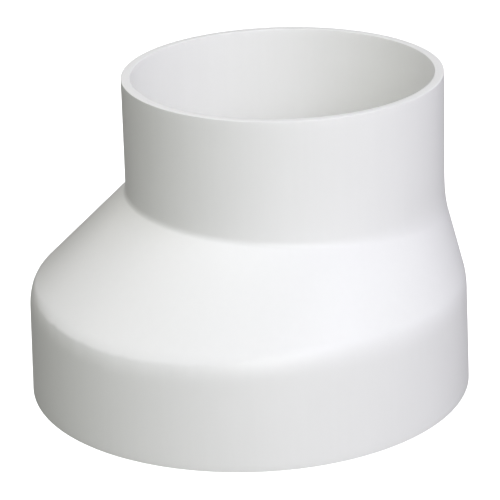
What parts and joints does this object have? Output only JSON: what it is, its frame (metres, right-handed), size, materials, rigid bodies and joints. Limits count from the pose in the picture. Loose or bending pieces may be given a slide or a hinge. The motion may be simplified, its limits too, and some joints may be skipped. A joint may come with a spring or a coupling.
{
  "type": "eccentric pipe reducer",
  "caption": "Off-centre pipe reducer: a large collar and a small collar joined by a sloping cone that is flush along one side, open from end to end.",
  "frame": {"origin": "centre of the large collar's open mouth, in the plane of the rim that it stands on", "axes": "+Z along the run from the large mouth to the small rim, +X towards the side where the two collars are flush"},
  "size_m": [0.1622, 0.1622, 0.1127],
  "materials": {
    "large_collar_plastic": "white moulded pipe plastic, semi-matt",
    "cone_plastic": "white moulded pipe plastic, semi-matt",
    "small_collar_plastic": "white moulded pipe plastic, semi-matt"
  },
  "bodies": {
    "root": {"large_collar": "large_collar_plastic", "eccentric_cone": "cone_plastic", "small_collar": "small_collar_plastic"}
  },
  "joints": []
}
